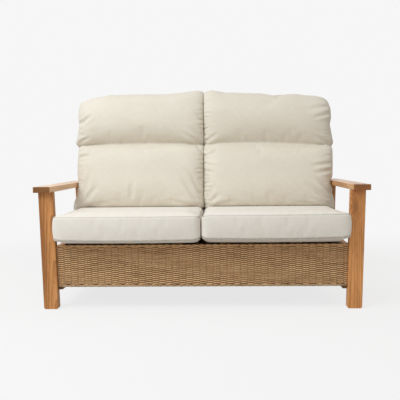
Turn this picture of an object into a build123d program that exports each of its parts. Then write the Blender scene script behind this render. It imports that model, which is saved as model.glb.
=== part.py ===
from build123d import *
import os
from math import radians, sqrt, tan

os.makedirs("parts", exist_ok=True)

# Two-seat lounge sofa. Two timber side frames that lean a little outward carry a seat box with woven
# rattan skirts and a leaning back frame with woven panels. Two boxed seat cushions and two channelled
# back cushions lie loose in it. Millimetres, +X to the sitter's left seen from the front, which is the
# right of a picture taken from the front, +Y to the back, +Z up. The origin lies on the floor, under
# the middle of the sofa.

# Whole sofa
overall_width = 1540.0
post_lean_deg = 1.575
arm_top_height = 571.0
rear_post_setback = 769.0
overrun = 40.0

# Timber sections of the side frames
arm_board_width = 81.0
arm_board_thickness = 26.5
arm_front_overhang = 22.0
arm_side_overhang = 18.3
arm_rear_overhang = 4.0
arm_corner_chamfer = 3.0
arm_edge_radius = 3.0
post_width = 68.0
front_post_depth = 39.0
rear_post_depth = 39.0
post_edge_radius = 3.0
foot_chamfer = 6.0
side_rail_thickness = 26.0
side_rail_height = 58.0
side_rail_top = 283.0
side_rail_edge_radius = 3.0

# Joinery: tenons are glued with this much room all round
glue_gap = 0.1
post_tenon_length = 16.0
post_tenon_width = 34.0
post_tenon_depth = 18.0
rail_tenon_length = 16.0
rail_tenon_thickness = 11.0
rail_tenon_height = 38.0

# Seat box
skirt_recess = 14.0
skirt_thickness = 10.0
skirt_bottom = 100.0
skirt_height = 198.0
stake_spacing = 15.8
skirt_rib_depth = 4.0
side_skirt_drop = 12.0
border_diameter = 12.0
box_rail_thickness = 22.0
front_rail_height = 60.0
seat_rail_top = 296.0
lower_rail_height = 30.0
side_board_thickness = 20.0
side_bearer_height = 84.0
side_bearer_top = 284.0
post_screw_margin = 14.0
side_screw_share = 0.45
side_lower_rail_height = 40.0
rear_rail_width = 52.0
box_rear = 692.0
bearer_width = 40.0
bearer_drop = 6.0
bearer_height = 54.0
corner_post_size = 32.0
board_edge_radius = 2.0

# Webbing of the seat
strap_count = 12
strap_width = 60.0
strap_thickness = 2.2
strap_margin = 46.0
strap_front_inset = 3.0
strap_rear_landing = 16.0

# Back frame
back_lean_deg = 10.0
back_foot_setback = 662.8
back_arm_gap = 24.0
back_top = 985.0
back_frame_thickness = 26.0
stile_width = 34.0
back_top_rail_height = 60.0
back_bottom_rail_height = 60.0
back_upright_width = 40.0
back_corner_radius = 28.0
back_weave_thickness = 8.0
back_rib_depth = 2.5
back_edge_radius = 2.0
back_tenon_length = 12.0
back_tenon_thickness = 10.0
back_tenon_margin = 12.0
cross_rail_top = 544.0
cross_rail_height = 28.0
cross_rail_rear_gap = 5.0
cross_tenon_depth = 20.0
cross_tenon_height = 15.0

# Seat cushions
cushion_gap = 2.0
seat_side_gap = 8.0
seat_cushion_front = 58.0
seat_cushion_rear = 655.0
seat_lower_seam = 325.0
seat_upper_seam = 437.0
seat_top_crown = 14.0
seat_rest_rise = 3.0
seat_front_bow = 9.0
seat_side_draw = 7.0
seat_corner_radius = 22.0
seat_front_roll = 150.0
seat_rest_from = 470.0
foam_wall = 16.0
foam_skin = 5.0
foam_clearance = 0.3
soft_clearance = 0.3

# Back cushions
back_cushion_arm_gap = 2.0
back_cushion_top = 1056.0
channel_height = 778.0
back_cushion_bottom_thickness = 190.0
lumbar_thickness = 216.0
channel_thickness = 128.0
head_thickness = 186.0
top_thickness = 96.0
corner_flare = 5.0
side_draw = 5.0
inner_draw = 1.5
outer_corner_radius = 78.0
inner_corner_radius = 34.0
top_rise = 9.0
rear_top_drop = 34.0
filling_wall = 34.0
filling_clearance = 0.3

# Coach screws
screw_radius = 4.0
screw_head_radius = 7.5
screw_head_height = 5.0
screw_length = 38.0
thread_fit = 0.04
head_pocket_radius = 8.0
head_pocket_depth = 5.6

# Worked-out sizes of the whole sofa
lean = tan(radians(post_lean_deg))
back_slope = tan(radians(back_lean_deg))
arm_underside = arm_top_height - arm_board_thickness
arm_inner = overall_width / 2 - arm_board_width
post_inner_at_floor = overall_width / 2 - arm_side_overhang - post_width - lean * arm_underside
rear_plane = rear_post_setback + rear_post_depth + arm_rear_overhang
front_y = (seat_cushion_front - rear_plane) / 2
skirt_top = skirt_bottom + skirt_height
skirt_front = front_y + skirt_recess
box_front = skirt_front + skirt_thickness
box_back = front_y + box_rear
post_rear = front_y + rear_post_setback + rear_post_depth


def inner_x(z):
    """Half the clear width between the leaning side frames at height z."""
    return post_inner_at_floor + lean * z


def back_y(z):
    """Front face of the leaning back frame at height z."""
    return front_y + back_foot_setback + back_slope * (z - seat_rail_top)


def canted(inset_0, inset_1, y_0, y_1, z_0, z_1):
    """Right-hand board that leans with the side frame; insets count outward from the posts' inner face."""
    corners = [
        (inner_x(z_0) + inset_0, y_0, z_0),
        (inner_x(z_0) + inset_1, y_0, z_0),
        (inner_x(z_1) + inset_1, y_0, z_1),
        (inner_x(z_1) + inset_0, y_0, z_1),
    ]
    return extrude(make_face(Polyline(*corners, close=True)), amount=y_1 - y_0, dir=(0, 1, 0))


def crossing(inset, y_0, y_1, z_0, z_1):
    """Board from side frame to side frame, its ends cut to the frames' lean."""
    corners = [
        (-inner_x(z_0) - inset, y_0, z_0),
        (inner_x(z_0) + inset, y_0, z_0),
        (inner_x(z_1) + inset, y_0, z_1),
        (-inner_x(z_1) - inset, y_0, z_1),
    ]
    return extrude(make_face(Polyline(*corners, close=True)), amount=y_1 - y_0, dir=(0, 1, 0))


def leaning(x_0, x_1, t_0, t_1, z_0, z_1):
    """Board in the plane of the back frame; t counts backward from the frame's front face."""
    corners = [
        (x_0, back_y(z_0) + t_0, z_0),
        (x_0, back_y(z_0) + t_1, z_0),
        (x_0, back_y(z_1) + t_1, z_1),
        (x_0, back_y(z_1) + t_0, z_1),
    ]
    return extrude(make_face(Polyline(*corners, close=True)), amount=x_1 - x_0, dir=(1, 0, 0))


def block(x_0, x_1, y_0, y_1, z_0, z_1):
    """Upright block between two corners."""
    middle = Pos((x_0 + x_1) / 2, (y_0 + y_1) / 2, (z_0 + z_1) / 2)
    return middle * Box(abs(x_1 - x_0), abs(y_1 - y_0), abs(z_1 - z_0))


def eased(board, radius):
    """Rounds the long edges of a board."""
    longest = max(edge.length for edge in board.edges())
    long_share = 0.8
    return fillet([edge for edge in board.edges() if edge.length > longest * long_share], radius)


def left_of(piece):
    """The same piece for the other side of the sofa."""
    return mirror(piece, about=Plane.YZ)


def save(piece, node):
    export_step(piece, f"parts/{node}.step")


def save_pair(piece, node):
    save(piece, node + "_right")
    save(left_of(piece), node + "_left")


# Coach screws, each made on a plane whose z direction is the way it is driven, with the plane's origin
# where the head seats.
def screw_at(seat):
    shank = Pos(0, 0, screw_length / 2) * Cylinder(screw_radius, screw_length)
    head = extrude(RegularPolygon(screw_head_radius, 6), amount=-screw_head_height)
    return seat * (shank + head)


def screw_hole(seat):
    bore_length = screw_length + thread_fit
    return seat * Pos(0, 0, bore_length / 2) * Cylinder(screw_radius + thread_fit, bore_length)


def head_pocket(seat):
    return seat * Pos(0, 0, -head_pocket_depth / 2) * Cylinder(head_pocket_radius, head_pocket_depth)


def side_plane(y, z, inset):
    """Plane on a right-hand canted face, its z direction outward and square to that face."""
    return Plane(origin=(inner_x(z) + inset, y, z), x_dir=(0, 1, 0), z_dir=(1, 0, -lean))


# Coach screws through the box's side boards: one into each side rail, and one from each board into each
# post. Those into the front posts have sunk heads, because a corner post or a rail covers them.
side_screw_y = front_y + front_post_depth + side_screw_share * (rear_post_setback - front_post_depth)
upper_screw_z = side_bearer_top - side_bearer_height + post_screw_margin
lower_screw_z = skirt_bottom - side_skirt_drop + side_lower_rail_height / 2
front_screw_y = (box_front + front_y + front_post_depth) / 2
rear_screw_y = front_y + rear_post_setback + rear_post_depth / 2
rail_screw_seat = side_plane(side_screw_y, side_bearer_top - side_rail_height / 2, -side_board_thickness)
sunk = head_pocket_depth - side_board_thickness
front_screw_seats = [side_plane(front_screw_y, z, sunk) for z in (upper_screw_z, lower_screw_z)]
rear_screw_seats = [side_plane(rear_screw_y, z, -side_board_thickness) for z in (upper_screw_z, lower_screw_z)]
side_screw_seats = [rail_screw_seat, *front_screw_seats, *rear_screw_seats]


# Side frames: each post is one canted length of solid timber with a tenon in the arm board above it.
# The arm board lies flat on both posts, and a side rail ties the posts at seat height.
def post_tenon(y_0, depth, gap):
    across = (post_width - post_tenon_width) / 2
    along = (depth - post_tenon_depth) / 2
    z_0 = arm_underside - gap
    z_1 = arm_underside + post_tenon_length + gap
    return canted(across - gap, post_width - across + gap, y_0 + along - gap, y_0 + depth - along + gap, z_0, z_1)


def post(y_0, depth):
    blank = canted(0, post_width, y_0, y_0 + depth, 0, arm_underside)
    feet = blank.edges().filter_by(Axis.Y).sort_by(Axis.Z)[:2]
    blank = eased(chamfer(feet, foot_chamfer), post_edge_radius)
    return blank + post_tenon(y_0, depth, 0)


def side_rail_tenon(y_0, y_1, gap):
    inset = (side_rail_thickness - rail_tenon_thickness) / 2
    z_0 = side_rail_top - (side_rail_height + rail_tenon_height) / 2
    z_1 = z_0 + rail_tenon_height
    return canted(inset - gap, inset + rail_tenon_thickness + gap, y_0 - gap, y_1 + gap, z_0 - gap, z_1 + gap)


def cross_tenon(gap):
    middle_z = cross_rail_top - cross_rail_height / 2
    middle_y = front_y + rear_post_setback + rear_post_depth / 2
    return canted(
        0 - gap,
        rail_tenon_length + gap,
        middle_y - cross_tenon_depth / 2 - gap,
        middle_y + cross_tenon_depth / 2 + gap,
        middle_z - cross_tenon_height / 2 - gap,
        middle_z + cross_tenon_height / 2 + gap,
    )


rail_front = front_y + front_post_depth
rail_rear = front_y + rear_post_setback
front_post = post(front_y, front_post_depth)
front_post -= side_rail_tenon(rail_front - rail_tenon_length, rail_front, glue_gap)
rear_post = post(rail_rear, rear_post_depth)
rear_post -= side_rail_tenon(rail_rear, rail_rear + rail_tenon_length, glue_gap)
rear_post -= cross_tenon(glue_gap)
side_rail = eased(
    canted(0, side_rail_thickness, rail_front, rail_rear, side_rail_top - side_rail_height, side_rail_top),
    side_rail_edge_radius,
)
side_rail += side_rail_tenon(rail_front - rail_tenon_length, rail_rear + rail_tenon_length, 0)
for seat in front_screw_seats:
    front_post -= screw_hole(seat)
for seat in rear_screw_seats:
    rear_post -= screw_hole(seat)
side_rail -= screw_hole(rail_screw_seat)

arm_outer = overall_width / 2
arm_front = front_y - arm_front_overhang
arm_rear = post_rear + arm_rear_overhang
arm = block(arm_inner, arm_outer, arm_front, arm_rear, arm_underside, arm_top_height)
arm = chamfer(arm.edges().filter_by(Axis.Z), arm_corner_chamfer)
arm = eased(arm, arm_edge_radius)
arm -= post_tenon(front_y, front_post_depth, glue_gap)
arm -= post_tenon(rail_rear, rear_post_depth, glue_gap)

save_pair(front_post, "front_post")
save_pair(rear_post, "rear_post")
save_pair(side_rail, "side_rail")
save_pair(arm, "arm_board")

# Seat box: side boards lie flat on the inner faces of the posts, rails cross between them, and a
# corner post stands in each corner. The lower rails carry the bottom edges of the skirts.
side_bearer = eased(
    canted(-side_board_thickness, 0, box_front, post_rear, side_bearer_top - side_bearer_height, side_bearer_top),
    board_edge_radius,
)
side_lower_bottom = skirt_bottom - side_skirt_drop
side_lower_top = side_lower_bottom + side_lower_rail_height
side_lower_rail = eased(
    canted(-side_board_thickness, 0, box_front, post_rear, side_lower_bottom, side_lower_top),
    board_edge_radius,
)

front_seat_rail = crossing(
    -side_board_thickness,
    box_front,
    box_front + box_rail_thickness,
    seat_rail_top - front_rail_height,
    seat_rail_top,
)
front_lower_rail = crossing(
    -side_board_thickness,
    box_front,
    box_front + box_rail_thickness,
    skirt_bottom,
    skirt_bottom + lower_rail_height,
)
rear_seat_rail = crossing(
    -side_board_thickness,
    box_back - rear_rail_width,
    box_back,
    seat_rail_top - front_rail_height,
    seat_rail_top,
)
rear_lower_rail = crossing(
    -side_board_thickness,
    box_back - box_rail_thickness,
    box_back,
    skirt_bottom,
    skirt_bottom + lower_rail_height,
)
bearer_top = seat_rail_top - bearer_drop
centre_bearer = eased(
    block(
        -bearer_width / 2,
        bearer_width / 2,
        box_front + box_rail_thickness,
        box_back - rear_rail_width,
        bearer_top - bearer_height,
        bearer_top,
    ),
    board_edge_radius,
)


# Corner posts are glued into the box's corners, between the seat rails and the lower rails.
def corner_post(y_0, y_1):
    return canted(
        -side_board_thickness - corner_post_size,
        -side_board_thickness,
        y_0,
        y_1,
        skirt_bottom + lower_rail_height,
        seat_rail_top - front_rail_height,
    )


front_corner_y = box_front
rear_corner_y = box_back - corner_post_size
front_corner_post = corner_post(front_corner_y, front_corner_y + corner_post_size)
rear_corner_post = corner_post(rear_corner_y, rear_corner_y + corner_post_size)

for seat in side_screw_seats:
    side_bearer -= screw_hole(seat)
    side_lower_rail -= screw_hole(seat)
for seat in front_screw_seats:
    side_bearer -= head_pocket(seat)
    side_lower_rail -= head_pocket(seat)

save_pair(side_bearer, "side_bearer")
save_pair(side_lower_rail, "side_lower_rail")
save(front_seat_rail, "front_seat_rail")
save(front_lower_rail, "front_lower_rail")
save(rear_seat_rail, "rear_seat_rail")
save(rear_lower_rail, "rear_lower_rail")
save(centre_bearer, "centre_bearer")
save_pair(front_corner_post, "front_corner_post")
save_pair(rear_corner_post, "rear_corner_post")

# Webbing: elastic straps run from the front seat rail to the rear one and carry the cushions.
strap_y_0 = box_front + strap_front_inset
strap_y_1 = box_back - rear_rail_width + strap_rear_landing
strap_reach = inner_x(seat_rail_top) - side_board_thickness - strap_margin
strap_step = 2 * strap_reach / (strap_count - 1)
straps = [
    block(
        -strap_reach + index * strap_step - strap_width / 2,
        -strap_reach + index * strap_step + strap_width / 2,
        strap_y_0,
        strap_y_1,
        seat_rail_top,
        seat_rail_top + strap_thickness,
    )
    for index in range(strap_count)
]
save(Compound(children=straps), "seat_webbing")

# Woven skirts: each is a panel woven on cane stakes with a round wrapped border along its top and
# bottom edges. The front one hangs between the front posts, the side ones below the side rails.
border_radius = border_diameter / 2


def cross_border(inset, y, z):
    rod = Plane.YZ * Circle(border_radius)
    rod = Pos(0, y, z) * extrude(rod, amount=overall_width / 2, both=True)
    return rod & crossing(inset, y - border_diameter, y + border_diameter, z - border_diameter, z + border_diameter)


def ribbed_plan(x_0, x_1, flat_y, valley_y, rib_y):
    """Plan of a woven panel that is flat on one face and bulges over every stake on the other."""
    count = round((x_1 - x_0) / stake_spacing)
    half_pitch = (x_1 - x_0) / count / 2
    ribs = [(x_0 + k * half_pitch, rib_y if k % 2 else valley_y) for k in range(2 * count + 1)]
    return make_face(Polyline((x_0, flat_y), *ribs, (x_1, flat_y), close=True))


front_border_y = box_front - border_radius
front_skirt_weave = crossing(
    0, skirt_front, box_front, skirt_bottom + border_diameter, skirt_top - border_diameter
)
skirt_half = inner_x(skirt_top)
front_ribs = ribbed_plan(-skirt_half, skirt_half, box_front, skirt_front + skirt_rib_depth, skirt_front)
front_skirt_weave &= extrude(front_ribs, amount=skirt_top)
save(front_skirt_weave, "front_skirt_weave")
save(cross_border(0, front_border_y, skirt_top - border_radius), "front_skirt_top_border")
save(cross_border(0, front_border_y, skirt_bottom + border_radius), "front_skirt_bottom_border")

rear_skirt_weave = crossing(
    -side_board_thickness,
    box_back,
    box_back + skirt_thickness,
    skirt_bottom + border_diameter,
    seat_rail_top - border_diameter,
)
rear_border_y = box_back + border_radius
rear_borders = [
    cross_border(-side_board_thickness, rear_border_y, skirt_bottom + border_radius),
    cross_border(-side_board_thickness, rear_border_y, seat_rail_top - border_radius),
]
save(rear_skirt_weave, "rear_skirt_weave")
save(Compound(children=rear_borders), "rear_skirt_borders")

side_weave_inset = (side_rail_thickness - skirt_thickness) / 2
side_weave_bottom = side_lower_bottom + border_diameter
side_weave_top = side_rail_top - side_rail_height
side_skirt_weave = canted(
    side_weave_inset,
    side_weave_inset + skirt_thickness,
    rail_front,
    rail_rear,
    side_weave_bottom,
    side_weave_top,
)
side_border_x = inner_x(side_lower_bottom + border_radius) + side_rail_thickness / 2
side_border = Pos(side_border_x, 0, side_lower_bottom + border_radius) * extrude(
    Plane.XZ * Circle(border_radius), amount=rear_plane, both=True
)
side_border &= block(
    side_border_x - border_diameter,
    side_border_x + border_diameter,
    rail_front,
    rail_rear,
    0,
    side_weave_bottom,
)
save_pair(side_skirt_weave, "side_skirt_weave")
save_pair(side_border, "side_skirt_border")

# Back frame: two stiles, a top rail, a bottom rail and a centre upright in one leaning plane, with a
# woven panel in each of its two openings. It stands on the rear seat rail.
half_back = arm_inner - back_arm_gap
stile_inner = half_back - stile_width
half_upright = back_upright_width / 2
back_foot = seat_rail_top
bottom_rail_top = back_foot + back_bottom_rail_height
top_rail_bottom = back_top - back_top_rail_height
tenon_t = (back_frame_thickness - back_tenon_thickness) / 2


def rail_tenon(z_0, z_1, gap):
    """Tenon at the right-hand end of a back rail."""
    return leaning(
        stile_inner - gap,
        stile_inner + back_tenon_length + gap,
        tenon_t - gap,
        tenon_t + back_tenon_thickness + gap,
        z_0 + back_tenon_margin - gap,
        z_1 - back_tenon_margin + gap,
    )


def upright_tenon(z_0, z_1, gap):
    """Tenon at an end of the centre upright."""
    return leaning(
        -half_upright + back_tenon_margin - gap,
        half_upright - back_tenon_margin + gap,
        tenon_t - gap,
        tenon_t + back_tenon_thickness + gap,
        z_0 - gap,
        z_1 + gap,
    )


back_stile = leaning(stile_inner, half_back, 0, back_frame_thickness, back_foot, back_top)
crown_edge = back_stile.edges().filter_by(Axis.Y).sort_by(Axis.Z)[-2:].sort_by(Axis.X)[-1]
back_stile = fillet(crown_edge, back_corner_radius)
back_stile -= rail_tenon(back_foot, bottom_rail_top, glue_gap)
back_stile -= rail_tenon(top_rail_bottom, back_top, glue_gap)


def back_rail(z_0, z_1):
    rail = leaning(-stile_inner, stile_inner, 0, back_frame_thickness, z_0, z_1)
    end = rail_tenon(z_0, z_1, 0)
    return eased(rail, back_edge_radius) + end + left_of(end)


lower_tenon = (bottom_rail_top - back_tenon_length, bottom_rail_top)
upper_tenon = (top_rail_bottom, top_rail_bottom + back_tenon_length)
back_bottom_rail = back_rail(back_foot, bottom_rail_top) - upright_tenon(*lower_tenon, glue_gap)
back_top_rail = back_rail(top_rail_bottom, back_top) - upright_tenon(*upper_tenon, glue_gap)
back_upright = leaning(-half_upright, half_upright, 0, back_frame_thickness, bottom_rail_top, top_rail_bottom)
back_upright = back_upright + upright_tenon(*lower_tenon, 0) + upright_tenon(*upper_tenon, 0)
weave_t = (back_frame_thickness - back_weave_thickness) / 2
back_weave_front = back_y(bottom_rail_top) + weave_t
back_weave_rear = back_weave_front + back_weave_thickness
back_plan = ribbed_plan(
    half_upright, stile_inner, back_weave_front, back_weave_rear - back_rib_depth, back_weave_rear
)
back_weave_length = (top_rail_bottom - bottom_rail_top) * sqrt(1 + back_slope**2)
back_weave = extrude(Pos(0, 0, bottom_rail_top) * back_plan, amount=back_weave_length, dir=(0, back_slope, 1))

# Cross rail: a flat board between the rear posts, just under the arms. Its front edge is planed to
# the back's lean, and the back frame is screwed to it.
cross_bottom = cross_rail_top - cross_rail_height
cross_rear = post_rear - cross_rail_rear_gap
cross_edge = [
    (0, back_y(cross_bottom) + back_frame_thickness, cross_bottom),
    (0, cross_rear, cross_bottom),
    (0, cross_rear, cross_rail_top),
    (0, back_y(cross_rail_top) + back_frame_thickness, cross_rail_top),
]
cross_rail = extrude(make_face(Polyline(*cross_edge, close=True)), amount=overall_width / 2, dir=(1, 0, 0))
cross_rail += left_of(cross_rail)
cross_rail &= crossing(0, front_y, post_rear, cross_bottom, cross_rail_top)
cross_rail = cross_rail + cross_tenon(0) + left_of(cross_tenon(0))
cross_screw_z = cross_rail_top - cross_rail_height / 2


def cross_screw_seat(x):
    return Plane(origin=(x, back_y(cross_screw_z), cross_screw_z), x_dir=(1, 0, 0), z_dir=(0, 1, -back_slope))


stile_screw_x = half_back - stile_width / 2
cross_seats = [cross_screw_seat(x) for x in (stile_screw_x, -stile_screw_x, 0)]
back_stile_left = left_of(back_stile)
for seat in cross_seats:
    back_stile -= screw_hole(seat)
    back_stile_left -= screw_hole(seat)
    back_upright -= screw_hole(seat)
    cross_rail -= screw_hole(seat)

save(back_stile, "back_stile_right")
save(back_stile_left, "back_stile_left")
save(back_bottom_rail, "back_bottom_rail")
save(back_top_rail, "back_top_rail")
save(back_upright, "back_centre_upright")
save_pair(back_weave, "back_weave")
save(cross_rail, "back_cross_rail")

# Coach screws, the seat box's and the back frame's each as one group.
side_screws = [screw_at(seat) for seat in side_screw_seats]
save(Compound(children=side_screws + [left_of(screw) for screw in side_screws]), "seat_box_coach_screws")
save(Compound(children=[screw_at(seat) for seat in cross_seats]), "back_frame_coach_screws")

# Seat cushions: a boxed cover with a seam round the top and one round the bottom. The cover's plan
# has a bowed front and drawn-in sides; its top is crowned over the seat and lies flat where the back
# cushion stands on it. A block of foam fills it.
seat_x_0 = cushion_gap / 2
seat_x_1 = inner_x(seat_lower_seam) - seat_side_gap
seat_cushion_width = seat_x_1 - seat_x_0
seat_y_0 = front_y - seat_cushion_front + seat_front_bow
seat_y_1 = front_y + seat_cushion_rear
seat_bottom = seat_rail_top + strap_thickness + soft_clearance
seat_rest_height = seat_upper_seam + seat_rest_rise
seat_mid_x = (seat_x_0 + seat_x_1) / 2
seat_mid_y = (seat_y_0 + seat_y_1) / 2
crown_shares = ((0, 0.1), (0.1, 0.6), (0.3, 0.93), (0.7, 0.93), (0.9, 0.6), (1, 0.1))
roll_middle_share = 0.25


def seat_outline():
    near_left, near_right = (seat_x_0, seat_y_0), (seat_x_1, seat_y_0)
    far_right, far_left = (seat_x_1, seat_y_1), (seat_x_0, seat_y_1)
    edges = [
        ThreePointArc(near_left, (seat_mid_x, seat_y_0 - seat_front_bow), near_right),
        ThreePointArc(near_right, (seat_x_1 - seat_side_draw, seat_mid_y), far_right),
        Line(far_right, far_left),
        ThreePointArc(far_left, (seat_x_0 + seat_side_draw, seat_mid_y), near_left),
    ]
    face = make_face(edges)
    return fillet(face.vertices(), seat_corner_radius)


def seat_section(x, crown):
    """Side view of the cushion at x; crown runs from 0 at its side seams to 1 in the middle."""
    front, rear = seat_y_0 - overrun, seat_y_1 + overrun
    rest = front_y + seat_rest_from
    top = seat_upper_seam + crown * seat_top_crown
    top_rest = seat_upper_seam + crown * (seat_rest_height - seat_upper_seam)
    low = seat_lower_seam + crown * (seat_bottom - seat_lower_seam)
    roll = seat_y_0 + seat_front_roll
    low_middle = low + (seat_lower_seam - low) * roll_middle_share
    edges = [
        Line((x, rear, low), (x, roll, low)),
        ThreePointArc((x, roll, low), (x, (roll + front) / 2, low_middle), (x, front, seat_lower_seam)),
        Line((x, front, seat_lower_seam), (x, front, seat_upper_seam)),
        ThreePointArc((x, front, seat_upper_seam), (x, (front + rest) / 2, top), (x, rest, top_rest)),
        Line((x, rest, top_rest), (x, rear, top_rest)),
        Line((x, rear, top_rest), (x, rear, low)),
    ]
    return make_face(edges)


def seat_cover():
    sections = [seat_section(seat_x_0 + share * seat_cushion_width, crown) for share, crown in crown_shares]
    return loft(sections, ruled=True) & extrude(seat_outline(), amount=arm_top_height)


def seat_foam(gap):
    return block(
        seat_x_0 + seat_side_draw + foam_wall - gap,
        seat_x_1 - seat_side_draw - foam_wall + gap,
        seat_y_0 + foam_wall - gap,
        seat_y_1 - foam_wall + gap,
        seat_lower_seam + foam_skin - gap,
        seat_upper_seam - foam_skin + gap,
    )


seat_cushion_cover = seat_cover() - seat_foam(foam_clearance)
save_pair(seat_cushion_cover, "seat_cushion_cover")
save_pair(seat_foam(0), "seat_cushion_foam")

# Back cushions: one cover sewn through along a channel, with a lumbar filling below it and a head roll
# filling above it. Below and above the channel the cover is a loft through side views of the cushion,
# from its inner side to its outer one. The sides thin out to a seam and draw in at the channel, the
# lower corners are pointed and the upper ones round.
cushion_bottom = seat_rest_height + soft_clearance
cushion_outer_x = arm_inner - back_cushion_arm_gap - corner_flare
back_cushion_width = cushion_outer_x - seat_x_0
foot_sides = (seat_x_0, cushion_outer_x + corner_flare)
channel_sides = (seat_x_0 + inner_draw, cushion_outer_x - side_draw)
top_sides = (seat_x_0, cushion_outer_x)
view_shares = (0, 0.015, 0.05, 0.12, 0.25, 0.5, 0.75, 0.886, 0.95, 0.985, 1)
seam_puff_share = 0.5
puff_power = 6
lumbar_middle_share = 0.42
head_middle_share = 0.46
top_middle_share = 0.5


def puff(share):
    """How much of its full thickness the cushion has at a share of its width."""
    return 1 - (1 - seam_puff_share) * abs(2 * share - 1) ** puff_power


def cushion_top(share):
    """Height of the top at a share of the width: a low crown with rounded corners."""
    top = back_cushion_top - top_rise * (1 - 2 * share) ** 2
    for side_share, radius in ((share, inner_corner_radius), (1 - share, outer_corner_radius)):
        inside = side_share * back_cushion_width
        if inside < radius:
            top -= radius - sqrt(radius**2 - (radius - inside) ** 2)
    return top


def cushion_x(share, z):
    """Where a share of the width lies at height z, between sides drawn in at the channel."""
    if z < channel_height:
        near, far, up = foot_sides, channel_sides, (z - cushion_bottom) / (channel_height - cushion_bottom)
    else:
        near, far, up = channel_sides, top_sides, (z - channel_height) / (back_cushion_top - channel_height)
    inner, outer = (near[side] + up * (far[side] - near[side]) for side in (0, 1))
    return inner + share * (outer - inner)


def rear_point(share, z, thickness):
    return (cushion_x(share, z), back_y(z) - soft_clearance - (1 - puff(share)) * thickness / 2, z)


def front_point(share, z, thickness):
    x, rear, _ = rear_point(share, z, thickness)
    return (x, rear - puff(share) * thickness, z)


def lumbar_view(share):
    """Side view of the cushion below its channel."""
    belly_z = cushion_bottom + lumbar_middle_share * (channel_height - cushion_bottom)
    heel = rear_point(share, cushion_bottom, back_cushion_bottom_thickness)
    foot = front_point(share, cushion_bottom, back_cushion_bottom_thickness)
    belly = front_point(share, belly_z, lumbar_thickness)
    channel = front_point(share, channel_height, channel_thickness)
    waist = rear_point(share, channel_height, channel_thickness)
    return make_face([Line(heel, foot), ThreePointArc(foot, belly, channel), Line(channel, waist), Line(waist, heel)])


def head_view(share):
    """Side view of the cushion above its channel."""
    top = cushion_top(share)
    waist = rear_point(share, channel_height, channel_thickness)
    channel = front_point(share, channel_height, channel_thickness)
    brow = front_point(share, channel_height + head_middle_share * (top - channel_height), head_thickness)
    crest = front_point(share, top, top_thickness)
    nape = rear_point(share, top - rear_top_drop, top_thickness)
    over_z = top - rear_top_drop * top_middle_share**2
    over = (cushion_x(share, over_z), crest[1] + (nape[1] - crest[1]) * top_middle_share, over_z)
    edges = [
        Line(waist, channel),
        ThreePointArc(channel, brow, crest),
        ThreePointArc(crest, over, nape),
        Line(nape, waist),
    ]
    return make_face(edges)


def back_cover():
    below = loft([lumbar_view(share) for share in view_shares], ruled=True)
    above = loft([head_view(share) for share in view_shares], ruled=True)
    return below + above


def filling(z_0, z_1, front_share, gap):
    """Filled inner bag: a leaning block, inside the cover by the wall."""
    thickness = channel_thickness * front_share
    return leaning(
        seat_x_0 + 2 * filling_wall - gap,
        cushion_outer_x - 2 * filling_wall + gap,
        -filling_wall - thickness - gap,
        -filling_wall + gap,
        z_0 + filling_wall - gap,
        z_1 - filling_wall + gap,
    )


lumbar_share = 0.78
head_share = 0.66


def lumbar_filling(gap):
    return filling(cushion_bottom, channel_height, lumbar_share, gap)


def head_filling(gap):
    return filling(channel_height, back_cushion_top - rear_top_drop, head_share, gap)


back_cushion_cover = back_cover() - lumbar_filling(filling_clearance) - head_filling(filling_clearance)
save_pair(back_cushion_cover, "back_cushion_cover")
save_pair(lumbar_filling(0), "lumbar_filling")
save_pair(head_filling(0), "head_roll_filling")
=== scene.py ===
import functools
import math
import bpy
import numpy as np
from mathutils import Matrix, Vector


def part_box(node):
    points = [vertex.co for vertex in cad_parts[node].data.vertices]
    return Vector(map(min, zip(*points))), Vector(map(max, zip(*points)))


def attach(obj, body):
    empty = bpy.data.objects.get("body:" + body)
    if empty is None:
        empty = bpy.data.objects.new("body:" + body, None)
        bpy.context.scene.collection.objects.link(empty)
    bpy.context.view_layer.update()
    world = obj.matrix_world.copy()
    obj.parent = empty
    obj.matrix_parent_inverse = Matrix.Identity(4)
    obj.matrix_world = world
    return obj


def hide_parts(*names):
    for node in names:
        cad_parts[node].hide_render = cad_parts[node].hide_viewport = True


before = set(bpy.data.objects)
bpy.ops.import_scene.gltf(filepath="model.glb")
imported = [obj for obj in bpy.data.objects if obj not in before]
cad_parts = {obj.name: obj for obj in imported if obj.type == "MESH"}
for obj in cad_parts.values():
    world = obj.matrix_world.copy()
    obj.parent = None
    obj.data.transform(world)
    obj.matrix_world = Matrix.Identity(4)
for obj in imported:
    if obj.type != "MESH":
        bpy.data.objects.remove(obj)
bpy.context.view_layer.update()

# The room
# A plain pale studio: one wide lamp high to the front left, light from all round for fill, and a
# floor that melts into the background and keeps a faint shadow. Metres, as in the frame.

wall_hex = "#F6F6F6"
fill_radiance = 0.56
fill_colour = (1.03, 0.985, 0.935, 1.0)
lamp_colour = (0.945, 1.0, 1.045)
lamp_watts = 77.5
lamp_size = 2.4
lamp_place = (-1.70, -1.85, 2.95)
lamp_aim = (-0.1, 0.1, 0.6)
floor_size = 60.0
floor_gap = 0.0005
floor_glow = 0.84
floor_fade = (1.3, 3.2)
floor_seen_hex = "#EFEFEF"
floor_hex = "#C9C9C6"


def linear(hex_colour):
    """An sRGB hex colour as the linear colour that a shader takes."""
    parts = [int(hex_colour[i:i + 2], 16) / 255 for i in (1, 3, 5)]
    return tuple(p / 12.92 if p <= 0.04045 else ((p + 0.055) / 1.055) ** 2.4 for p in parts) + (1.0,)


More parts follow.
